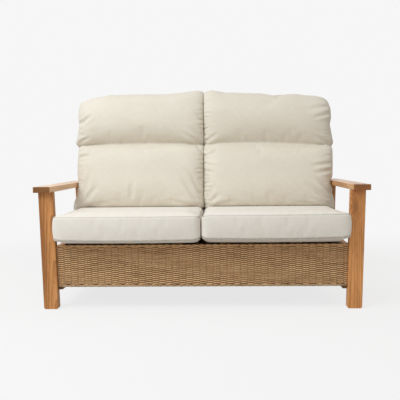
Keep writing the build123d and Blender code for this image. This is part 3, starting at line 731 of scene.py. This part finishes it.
def cream_canvas(name, tones):
    """Washed cotton canvas: a matt plain weave with slubs. The real threads stand 0.6 mm apart, too
    fine to show, so they are drawn four times as far apart."""
    light, mid, dark = map(linear, tones)
    material, add = new_material(name)
    place = add("TexCoord").outputs
    warp, weft = (add("TexWave", {"Vector": place["UV"], "Scale": wave_repeat / thread_spacing,
                                  "Distortion": 0.6, "Detail": 1.0, "Detail Scale": 0.2},
                      wave_type="BANDS", bands_direction=axis).outputs["Fac"] for axis in "XY")
    threads = add("Math", {0: warp, 1: weft}, operation="MULTIPLY")
    slub_x, slub_y = (add("TexNoise", {"Vector": add("Mapping", {"Vector": place["UV"], "Scale": scale}),
                                       "Scale": 1 / slub_spacing, "Detail": 2.0})
                      for scale in ((slub_draw, 1, 1), (1, slub_draw, 1)))
    slub = add("Math", {0: slub_x, 1: slub_y}, operation="ADD")
    wash = add("TexNoise", {"Vector": place["Object"], "Scale": 1 / wash_size, "Detail": 3.0})
    tone = weighed(add, wash_base, (wash, wash_share), (slub, slub_share), (threads, thread_share))
    ramp = add("ValToRGB", {"Fac": tone}, stops=list(zip(canvas_tone_stops, (light, mid, dark))))
    # Painted shade and dust: a stitched groove is drawn darker, for the shade in it and the dust it holds
    groove = add("Attribute", attribute_name="groove").outputs["Fac"]
    shown = add("Mix", {0: groove, 6: ramp, 7: linear(groove_shade_and_dust_hex)}, data_type="RGBA")
    relief = weighed(add, threads, (slub, 0.4))
    bump = add("Bump", {"Height": relief, "Strength": 0.3, "Distance": 0.0003})
    shader = add("BsdfPrincipled", {"Base Color": shown.outputs[2], "Roughness": 0.92, "Normal": bump,
                                    "Sheen Weight": 0.12, "Sheen Roughness": 0.5,
                                    "Specular IOR Level": 0.25})
    add("OutputMaterial", {"Surface": shader})
    return material


def set_points(piece, points):
    piece.data.vertices.foreach_set("co", np.asarray(points, float).ravel())
    piece.data.update()


def normals_of(piece):
    return read(piece.data.vertex_normals, "vector")


def edge_ends(piece):
    return read(piece.data.edges, "vertices", 2, np.int32)


def cut_block(name, cuts):
    """A unit block cut right through at the given shares of its three sides."""
    pick()
    bpy.ops.mesh.primitive_cube_add(size=1, location=(0.5, 0.5, 0.5))
    block = bpy.context.object
    block.name = block.data.name = name
    bpy.ops.object.transform_apply()
    edit(block)
    for normal, shares in zip(np.eye(3), cuts):
        for share in shares:
            bpy.ops.mesh.select_all(action="SELECT")
            bpy.ops.mesh.bisect(plane_co=tuple(share * normal), plane_no=tuple(normal))
    bpy.ops.object.mode_set(mode="OBJECT")
    return block


def even_cuts(count, *marks):
    """Even shares, with the nearest ones moved on to the marks."""
    shares = [i / count for i in range(1, count)]
    for mark in marks:
        near = min(range(len(shares)), key=lambda i: abs(shares[i] - mark))
        shares[near] = mark
    return shares


def smooth(value, low, high):
    """0 below the low value, 1 above the high one, and an even ramp between them."""
    share = np.clip((value - low) / (high - low), 0, 1)
    return share * share * (3 - 2 * share)


def dome(share, power=2):
    """The height of a round shoulder, from 0 at its foot to 1 at share 1."""
    return np.sqrt(np.clip(1 - (1 - np.clip(share, 0, 1)) ** power, 0, 1))


def bell(value, width):
    """1 at value 0, falling away evenly on both sides."""
    return np.exp(-(value / width) ** 2)


def swell(piece, held, pressure, excess, cap, frames=20):
    """Lets the cover fill out as cloth under pressure, with some points held, and keeps the result.
    No point moves further than the cap."""
    before = points_of(piece)
    group = piece.vertex_groups.new(name="held")
    for level in np.unique(np.round(held, 2)):
        if level > 0:
            group.add([int(i) for i in np.nonzero(np.round(held, 2) == level)[0]], float(level), "REPLACE")
    cloth = piece.modifiers.new("cloth", "CLOTH")
    settings = cloth.settings
    settings.quality = 6
    settings.mass = 0.3
    settings.tension_stiffness = settings.compression_stiffness = 12
    settings.shear_stiffness = 4
    settings.bending_stiffness = 1.5
    settings.use_pressure = True
    settings.uniform_pressure_force = pressure
    settings.shrink_min = settings.shrink_max = -excess
    settings.effector_weights.gravity = 0
    settings.vertex_group_mass = group.name
    settings.pin_stiffness = 1.0
    cloth.collision_settings.use_collision = False
    cloth.point_cache.frame_start, cloth.point_cache.frame_end = 1, frames
    for frame_number in range(1, frames + 1):
        bpy.context.scene.frame_set(frame_number)
    pick(piece)
    bpy.ops.object.modifier_apply(modifier=cloth.name)
    bpy.context.scene.frame_set(1)
    move = points_of(piece) - before
    far = np.linalg.norm(move, axis=1, keepdims=True)
    set_points(piece, before + move * np.minimum(1, cap / np.maximum(far, 1e-9)))


def soften(piece):
    """Subdivides the cover once, when it has its form."""
    round_off = piece.modifiers.new("round_off", "SUBSURF")
    round_off.levels = round_off.render_levels = 1
    pick(piece)
    bpy.ops.object.modifier_apply(modifier=round_off.name)


cord_half_width = 0.0046
cord_height = 0.0026
cord_groove = 0.0028
rim_share = 0.35            # of the depth of the groove, at its rim
top_side_shade_and_soil = 0.25


def cord_seam(piece, ring, shade_and_soil):
    """Raises a cord between two stitched grooves along the edges between the points of a ring."""
    edit(piece)
    bpy.ops.mesh.select_mode(type="EDGE")
    bpy.ops.mesh.select_all(action="DESELECT")
    bpy.ops.object.mode_set(mode="OBJECT")
    on_ring = np.zeros(len(piece.data.vertices), bool)
    on_ring[ring] = True
    piece.data.edges.foreach_set("select", on_ring[edge_ends(piece)].all(axis=1))
    bpy.ops.object.mode_set(mode="EDIT")
    bpy.ops.mesh.bevel(offset=cord_half_width, segments=4, profile=0.5, affect="EDGES", clamp_overlap=True)
    bpy.ops.object.mode_set(mode="OBJECT")
    chosen = np.empty(len(piece.data.vertices), bool)
    piece.data.vertices.foreach_get("select", chosen)
    ends = edge_ends(piece)
    # Rank 0 is the rim of the bevel, 1 its grooves and 2 the cord between them
    rank = np.where(chosen, 9, -1)
    border = np.zeros(len(rank), bool)
    border[ends[chosen[ends[:, 0]] != chosen[ends[:, 1]]].ravel()] = True
    rank[border & chosen] = 0
    for level in (1, 2):
        for one, other in ((0, 1), (1, 0)):
            near = (rank[ends[:, one]] == level - 1) & (rank[ends[:, other]] == 9)
            rank[ends[near, other]] = level
    steps = [rim_share * -cord_groove, -cord_groove, cord_height]
    move = np.select([rank == 0, rank == 1, rank >= 2], steps, 0.0)
    # The groove on the band side of the cord gets the stronger painted shade and dust
    band_side = np.abs(normals_of(piece)[:, 2]) < 0.5
    shade = np.where(rank == 1, np.where(band_side, shade_and_soil, top_side_shade_and_soil * shade_and_soil), 0.0)
    mark = piece.data.attributes.get("groove") or piece.data.attributes.new("groove", "FLOAT", "POINT")
    before = np.empty(len(rank))
    mark.data.foreach_get("value", before)
    mark.data.foreach_set("value", np.maximum(before, shade))
    set_points(piece, points_of(piece) + normals_of(piece) * move[:, None])


def found_at(points, marks):
    """Indices of the points that lie on the marks, to the nearest micrometre."""
    at = {tuple(np.round(p * 1e6).astype(int)): i for i, p in enumerate(points)}
    keys = (tuple(np.round(m * 1e6).astype(int)) for m in marks)
    return sorted({at[key] for key in keys if key in at})


def finish_cushion(piece, body, canvas, nodes):
    """Lays the canvas over a finished cushion and hangs it on its body."""
    edit(piece)
    bpy.ops.uv.cube_project(cube_size=1.0, correct_aspect=False)
    bpy.ops.object.mode_set(mode="OBJECT")
    piece.vertex_groups.clear()
    dress(piece, body, "cushion_fabric", canvas, *nodes)


seat_cells = (58, 62, 11)
seat_lower_seam = 0.325
seat_upper_seam = 0.437
seat_foot_share = 0.14      # of the block's height, below the lower seam
seat_rise = 0.009
seat_corner = 0.024
seat_front_bow = 0.009
front_sag = 0.0042          # how far the front edge hangs in its middle
front_lift = 0.0012         # of the whole front edge against its sagging middle
corner_rise = 0.0055        # how far the lower front corners are drawn up
corner_bulge = 0.011        # past the inner face of the post, and more in mid-height
corner_belly = 0.005
bulge_fade = (-0.398, -0.379)  # it ends where the post begins
seat_ease = 0.002           # between the cover and the box of the CAD cover
seat_inner_x = 0.0026
webbing_gap = 0.0006
seat_rest_y = 0.085
seat_rest_z = 0.4366
seat_rest_rise = 0.0144
crown_width = 0.075
under_width = 0.045
inner_drop, outer_drop = 0.018, 0.004
inner_rear_drop, outer_rear_drop = 0.006, 0.002
shoulder_width = 0.085
side_draw = 0.004
seam_shade_and_soil = (1.0, 0.3)      # of the upper and the lower seam
middle_gap = 0.0018


def seat_cushion(side, sign, top_front, lower_front):
    """top_front and lower_front are the heights of the two front seams at their inner and outer ends,
    and the last of lower_front is that of the underside at the front."""
    low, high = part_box("seat_cushion_cover_" + side)
    inner, outer = seat_inner_x, max(high[0], -low[0]) - seat_ease
    front, rear = low[1] + seat_front_bow, high[1] - seat_ease
    under_z = low[2] + webbing_gap
    foot = seat_foot_share
    across, deep, tall = seat_cells
    levels = [foot + (1 - foot) * i / tall for i in range(tall)]
    piece = cut_block("seat_cushion_" + side, (even_cuts(across), even_cuts(deep), levels))
    a, b, c = points_of(piece).T
    on_top, underneath, below = c > 0.999, c < 0.001, c < foot - 0.001
    x = inner + a * (outer - inner)
    y = front + b * (rear - front)
    # Rounded corners in plan
    for cx, sx in ((inner + seat_corner, -1), (outer - seat_corner, 1)):
        for cy, sy in ((front + seat_corner, -1), (rear - seat_corner, 1)):
            dx, dy = sx * (x - cx), sy * (y - cy)
            inside = (dx > 0) & (dy > 0)
            scale = np.where(inside, np.maximum(dx, dy) / np.maximum(np.hypot(dx, dy), 1e-9), 1)
            x = np.where(inside, cx + sx * dx * scale, x)
            y = np.where(inside, cy + sy * dy * scale, y)
    arch = 1 - (2 * a - 1) ** 2
    y -= seat_front_bow * arch * (1 - smooth(b, 0, 0.35)) * 0.8
    # Height of the two seams, which rise and fall a little, and of the band between them
    front_share = 1 - smooth(b, 0.0, 0.5)
    upper_z = seat_upper_seam + front_share * ((1 - a) * top_front[0] + a * top_front[1] - seat_upper_seam)
    lower_z = seat_lower_seam + front_share * ((1 - a) * lower_front[0] + a * lower_front[1]
                                               - seat_lower_seam)
    # The front hangs a little in its middle, and the top falls away in round shoulders at the sides
    bow = front_sag * arch - front_lift - corner_rise * (1 - smooth(np.minimum(a, 1 - a), 0.0, 0.055))
    lower_z -= bow * (1 - smooth(b, 0.0, 0.3))
    aside = np.minimum(x - inner, outer - x)
    near_front = smooth(b, 0.0, 0.10)
    upper_z -= np.where(a < 0.5, inner_drop, outer_drop) * (1 - dome(aside / shoulder_width)) * near_front
    rear_drop = np.where(a < 0.5, inner_rear_drop, outer_rear_drop)
    upper_z -= rear_drop * (1 - smooth(aside, 0.0, 0.030)) * (1 - near_front)
    band = np.clip((c - foot) / (1 - foot), 0, 1)
    z = lower_z + band * (upper_z - lower_z)
    edge = np.minimum(aside, np.minimum(y - front, rear - y))
    z = np.where(on_top, z + seat_rise * dome(edge / crown_width), z)
    under = np.clip(1 - c / foot, 0, 1)
    lift = (lower_front[2] - under_z - bow) * (1 - smooth(b, 0.0, 0.16))
    sag = np.where(underneath, 0.35 + 0.65 * dome(edge / under_width), 0.35 * under)
    z = np.where(below, lower_z - (lower_z - under_z - lift) * sag, z)
    # The sides are drawn in between the corners
    near_side = np.sign(a - 0.5) * smooth(np.abs(2 * a - 1), 0.9, 1.0)
    x -= near_side * side_draw * np.sin(np.pi * np.clip(b, 0, 1))
    # In front of the post the corner bulges past the post's inner face
    bulge = corner_bulge + corner_belly * np.sin(np.pi * band)
    x += smooth(a, 0.93, 1.0) * (1 - smooth(y, *bulge_fade)) * bulge
    set_points(piece, np.column_stack((sign * x, y, z)))
    edit(piece)
    turn_outwards()
    rim = (a < 0.001) | (a > 0.999) | (b < 0.001) | (b > 0.999)
    rings = {"upper_seam": rim & on_top, "lower_seam": rim & (np.abs(c - foot) < 0.001)}
    held = np.where(underneath | rings["upper_seam"] | rings["lower_seam"], 0.9, 0.0)
    for label, ring in rings.items():
        piece.vertex_groups.new(name=label).add([int(i) for i in np.nonzero(ring)[0]], 1.0, "REPLACE")
    swell(piece, held, pressure=1.6, excess=0.004, cap=0.010)
    soften(piece)
    marks = []
    for label in rings:
        index = piece.vertex_groups[label].index
        ring = [v.index for v in piece.data.vertices
                if any(g.group == index and g.weight > 0.99 for g in v.groups)]
        marks.append(points_of(piece)[ring])
    for mark, shade_and_soil in zip(marks, seam_shade_and_soil):
        cord_seam(piece, found_at(points_of(piece), mark), shade_and_soil)
    # The back cushion presses the rear of the seat flat
    points = points_of(piece)
    rest = seat_rest_z + seat_rest_rise * (1 - smooth(points[:, 1], -0.10, seat_rest_y))
    points[:, 2] = np.clip(points[:, 2], under_z, rest)
    points[:, 0] = sign * np.maximum(sign * points[:, 0], middle_gap)
    set_points(piece, points)
    return piece


seat_canvas = cream_canvas("washed_cream_canvas", ("#F0ECE3", "#EAE4DA", "#E0D8CC"))
for side, sign, top_front, lower_front in (
    ("left", -1, (0.4345, 0.4335), (0.325, 0.324, 0.3155)),
    ("right", 1, (0.4375, 0.4400), (0.330, 0.333, 0.3225)),
):
    cushion = seat_cushion(side, sign, top_front, lower_front)
    finish_cushion(cushion, "seat_cushion_" + side, seat_canvas,
                   ("seat_cushion_cover_" + side, "seat_cushion_foam_" + side))

# Back cushions
# Two tall fibre-filled cushions in the same canvas, each with one sewn channel across it that parts
# the head roll from the lumbar part. They stand on the seat cushions and lean on the woven back.

back_cells = (62, 14, 60)
back_bottom = 0.4372
back_top = 1.05
channel_level = 0.778
back_slope = math.tan(back_lean)
back_foot_y = 0.2858
back_foot_z = 0.296
back_gap = 0.004
crest_roll = 0.034
side_fullness = 0.40        # thickness of a side seam, as a share of that in the middle
rear_fullness = 0.42        # how much of the thinning towards a side is taken from the rear
ear_droop = 0.020
ear_widths = (0.040, 0.062)
front_tuck = 0.014
# Thickness up the lumbar part, from its foot to the channel, and the shares at which it is given
lumbar_shares = [0, 0.08, 0.25, 0.45, 0.7, 0.9, 0.97, 1.0]
lumbar_depths = [0.186, 0.200, 0.205, 0.205, 0.200, 0.178, 0.150, 0.100]
roll_shares = [0, 0.04, 0.15, 0.35, 0.6, 0.85, 1.0]


def back_plane(z):
    """How far back the face of the leaning back frame lies at a height."""
    return back_foot_y + back_slope * (z - back_foot_z)


def along_line(value, line):
    """The height of a line, given as places and heights, at the values."""
    return np.interp(value, [place for place, _ in line], [height for _, height in line])


def back_cushion(side, sign, crest, sides, roll, channel):
    """crest and channel list the heights of the top and of the sewn channel at distances from the
    middle of the sofa, and sides lists how far the outer side reaches at heights above the floor.
    roll is the head roll's thickness from its channel up to its crest."""
    notch = (channel_level - back_bottom) / (back_top - back_bottom)
    across, deep, tall = back_cells
    piece = cut_block("back_cushion_" + side,
                      (even_cuts(across), even_cuts(deep, 0.5), even_cuts(tall, notch)))
    a, b, c = points_of(piece).T
    top, channel_z = (along_line(0.002 + a * 0.686, line) for line in (crest, channel))
    z = np.where(c < notch, back_bottom + c / notch * (channel_z - back_bottom),
                 channel_z + (c - notch) / (1 - notch) * (top - channel_z))
    low_part = np.clip((z - back_bottom) / (channel_z - back_bottom), 0, 1)
    high_part = np.clip((z - channel_z) / (top - channel_z), 0, 1)
    thick = np.where(c < notch, np.interp(low_part, lumbar_shares, lumbar_depths),
                     np.interp(high_part, roll_shares, roll))
    puff = side_fullness + (1 - side_fullness) * dome((1 - np.abs(2 * a - 1)) / 0.30, power=2.2)
    rear = back_plane(z) - back_gap - (1 - puff) * thick * rear_fullness
    y = rear - (1 - b) * thick * puff
    # The crest rolls over towards the rear
    z = z - crest_roll * b ** 1.6 * smooth(c, 0.9, 1.0)
    inner = -0.002 + 0.005 * smooth(c, 0.97, 1.0) + 0.004 * bell(c - notch, 0.02)
    x = inner + a * (along_line(z, sides) - inner)
    # The bottom corners droop as dog-ears, and the front edge of the bottom is rolled under
    ears = ear_droop * (bell(a, ear_widths[0]) + bell(1 - a, ear_widths[1]))
    z -= ears * (1 - smooth(c, 0.0, 0.06)) * (1 - (1 - 0.5 * smooth(a, 0.5, 0.9)) * smooth(b, 0.0, 0.8))
    y += front_tuck * (1 - smooth(c, 0.0, 0.022)) * (1 - smooth(b, 0.0, 0.35))
    set_points(piece, np.column_stack((sign * x, y, z)))
    edit(piece)
    turn_outwards()
    held = np.zeros(len(a))
    held[b > 0.999] = 0.9
    held[c < 0.001] = 0.6
    in_channel = np.abs(c - notch) < 1e-4
    held[in_channel & (b < 0.001)] = 1.0
    held[in_channel & (b < 0.45)] = 0.8
    held[((a < 0.001) | (a > 0.999)) & (np.abs(b - 0.5) < 1e-3)] = 0.35
    swell(piece, held, pressure=3.0, excess=0.010, cap=0.026)
    soften(piece)
    return piece


def fold(piece, lines):
    """Presses folds into the front of a cushion. Each has two ends given by x and z, a width and a
    depth; it is deepest near its second end, and the cloth puffs up along both of its sides."""
    points, normals = points_of(piece), normals_of(piece)
    move = np.zeros(len(points))
    flat = points[:, [0, 2]]
    for start, end, width, depth in lines:
        start, along = np.array(start), np.subtract(end, start)
        length = np.linalg.norm(along)
        reach = (flat - start) @ along / length ** 2
        off = np.linalg.norm(flat - start - np.clip(reach, 0, 1)[:, None] * along, axis=1)
        fade = smooth(reach, -0.15, 0.55) * (1 - smooth(reach, 0.92, 1.15))
        move += depth * fade * (bell(off, width) - 0.5 * bell(off - 1.9 * width, width))
    facing = smooth(-normals[:, 1], -0.1, 0.35)
    set_points(piece, points - normals * (move * facing)[:, None])


seat_side = 0.668
contact_gap = 0.0006
ear_bottom = 0.421
# How far out a back cushion may reach: it is squeezed where the arm board passes it
widest_at = [(0.520, 0.7260), (0.540, 0.6885), (0.575, 0.6885), (0.600, 0.7200)]


def settle(piece, sign):
    """Presses a finished back cushion flat where it meets the back frame, the seat and its neighbours."""
    points = points_of(piece)
    points[:, 1] = np.minimum(points[:, 1], back_plane(points[:, 2]) - contact_gap)
    # The seat falls away in shoulders at both sides, and so may the bottom of the back cushion
    reach = np.abs(points[:, 0])
    inside, outside = (1 - dome(side / shoulder_width) for side in (reach, seat_side - reach))
    lowest = seat_rest_z + contact_gap - 0.85 * (inner_drop * inside + outer_drop * outside)
    lowest += (ear_bottom - lowest) * smooth(reach, 0.656, 0.672)
    points[:, 2] = np.maximum(points[:, 2], lowest)
    points[:, 0] = np.clip(sign * points[:, 0], contact_gap, along_line(points[:, 2], widest_at)) * sign
    set_points(piece, points)


def side_puckers(rng, x_edge, inward, z_low, z_high, step, size, depth):
    """Short gathers along a sewn side: they start inside the cushion and deepen towards the seam."""
    lines, z = [], z_low
    while z < z_high:
        run = size * rng.uniform(0.6, 1.3)
        lines.append(((x_edge + inward * run, z + rng.uniform(-0.010, 0.014)), (x_edge, z),
                      rng.uniform(0.0035, 0.006), depth * rng.uniform(0.6, 1.4)))
        z += step * rng.uniform(0.6, 1.4)
    return lines


left_folds = [
    ((-0.380, 0.585), (-0.386, 0.490), 0.013, 0.0040), ((-0.600, 0.640), (-0.668, 0.456), 0.012, 0.0060),
    ((-0.560, 0.560), (-0.665, 0.445), 0.012, 0.0050), ((-0.470, 0.470), (-0.640, 0.442), 0.010, 0.0030),
    ((-0.120, 0.665), (-0.015, 0.569), 0.010, 0.0045), ((-0.115, 0.590), (-0.020, 0.441), 0.011, 0.0065),
    ((-0.075, 0.622), (-0.010, 0.500), 0.009, 0.0045), ((-0.200, 0.475), (-0.030, 0.440), 0.010, 0.0035),
    ((-0.610, 0.722), (-0.670, 0.704), 0.007, 0.0050), ((-0.570, 0.750), (-0.665, 0.741), 0.008, 0.0050),
    ((-0.605, 0.944), (-0.680, 0.890), 0.010, 0.0065), ((-0.640, 0.958), (-0.685, 0.925), 0.007, 0.0040),
    ((-0.125, 0.845), (-0.015, 0.774), 0.009, 0.0060), ((-0.090, 0.880), (-0.010, 0.806), 0.008, 0.0045),
    ((-0.620, 0.822), (-0.690, 0.786), 0.008, 0.0050), ((-0.050, 0.960), (-0.006, 0.905), 0.007, 0.0040),
    ((-0.300, 0.815), (-0.270, 0.786), 0.010, 0.0025), ((-0.440, 0.815), (-0.455, 0.786), 0.010, 0.0020),
    ((-0.628, 0.768), (-0.680, 0.738), 0.009, 0.0160), ((-0.045, 0.765), (-0.006, 0.740), 0.008, 0.0110),
]
right_folds = [
    ((0.095, 0.510), (0.003, 0.436), 0.011, 0.0065), ((0.060, 0.560), (0.000, 0.446), 0.010, 0.0055),
    ((0.190, 0.470), (0.020, 0.440), 0.009, 0.0035), ((0.070, 0.760), (0.004, 0.750), 0.007, 0.0055),
    ((0.050, 0.715), (0.002, 0.748), 0.007, 0.0050), ((0.080, 0.649), (0.002, 0.668), 0.007, 0.0035),
    ((0.065, 0.612), (0.001, 0.633), 0.007, 0.0035), ((0.570, 0.650), (0.685, 0.664), 0.009, 0.0060),
    ((0.590, 0.610), (0.685, 0.627), 0.009, 0.0050), ((0.545, 0.560), (0.690, 0.455), 0.012, 0.0075),
    ((0.560, 0.480), (0.690, 0.440), 0.010, 0.0055), ((0.600, 0.590), (0.690, 0.495), 0.010, 0.0060),
    ((0.470, 0.462), (0.660, 0.440), 0.009, 0.0030), ((0.085, 0.835), (0.002, 0.784), 0.009, 0.0050),
    ((0.590, 0.908), (0.690, 0.934), 0.009, 0.0055), ((0.600, 0.815), (0.692, 0.776), 0.009, 0.0055),
    ((0.330, 0.812), (0.350, 0.780), 0.010, 0.0020), ((0.560, 0.955), (0.680, 0.975), 0.010, 0.0030),
    ((0.060, 0.768), (0.006, 0.732), 0.009, 0.0150), ((0.635, 0.792), (0.688, 0.766), 0.007, 0.0055),
]
forms = {
    "left": {
        "crest": [(0.0, 1.070), (0.03, 1.076), (0.10, 1.071), (0.21, 1.063), (0.36, 1.066), (0.52, 1.063),
                  (0.58, 1.051), (0.65, 1.033), (0.69, 1.014)],
        "sides": [(0.43, 0.724), (0.46, 0.712), (0.50, 0.694), (0.57, 0.691), (0.61, 0.695), (0.70, 0.695),
                  (0.745, 0.694), (0.765, 0.703), (0.785, 0.717), (0.805, 0.709), (0.835, 0.701),
                  (0.890, 0.695), (0.945, 0.702), (0.99, 0.701), (1.03, 0.693)],
        "roll": [0.100, 0.132, 0.154, 0.172, 0.168, 0.138, 0.096],
        "channel": [(0.0, 0.768), (0.04, 0.771), (0.12, 0.779), (0.30, 0.780), (0.50, 0.779), (0.62, 0.775),
                    (0.665, 0.768), (0.69, 0.762)],
    },
    "right": {
        "crest": [(0.0, 1.066), (0.04, 1.076), (0.11, 1.066), (0.32, 1.058), (0.38, 1.050), (0.50, 1.053),
                  (0.61, 1.038), (0.66, 1.027), (0.69, 1.005)],
        "sides": [(0.43, 0.710), (0.46, 0.704), (0.50, 0.694), (0.57, 0.692), (0.60, 0.699), (0.72, 0.704),
                  (0.755, 0.707), (0.775, 0.716), (0.80, 0.710), (0.83, 0.704), (0.874, 0.696),
                  (0.915, 0.702), (0.96, 0.702), (1.02, 0.692)],
        "roll": [0.100, 0.126, 0.142, 0.162, 0.176, 0.158, 0.104],
        "channel": [(0.0, 0.765), (0.03, 0.770), (0.084, 0.779), (0.334, 0.775), (0.442, 0.770),
                    (0.57, 0.7645), (0.642, 0.763), (0.69, 0.757)],
    },
}
outer_seam, outer_pucker = 0.683, 0.0020
inner_seam, inner_pucker = 0.004, 0.0034
# Along the lumbar part and the head roll: from which height and up to which, how far apart the
# gathers are and how long
pucker_runs = ((0.47, 0.75, 0.034, 0.040), (0.80, 1.02, 0.026, 0.036))
# For the outer and the inner side: where the seam lies, the way its gathers run and their depth
seams = ((outer_seam, -1, outer_pucker), (inner_seam, 1, inner_pucker))
# Painted shade: the back covers are drawn in a darker canvas than the seats, though the cloth is the same
back_canvas = cream_canvas("painted_shade_cream_canvas", ("#E9E3D6", "#E1DACC", "#D6CDBC"))
for side, sign, folds in (("left", -1, left_folds), ("right", 1, right_folds)):
    cushion = back_cushion(side, sign, **forms[side])
    rng = np.random.default_rng(7 + sign)
    for x_edge, inward, depth in seams:
        for run in pucker_runs:
            folds = folds + side_puckers(rng, sign * x_edge, sign * inward, *run, depth)
    fold(cushion, folds)
    settle(cushion, sign)
    nodes = [part + side for part in ("back_cushion_cover_", "lumbar_filling_", "head_roll_filling_")]
    finish_cushion(cushion, "back_cushion_" + side, back_canvas, nodes)
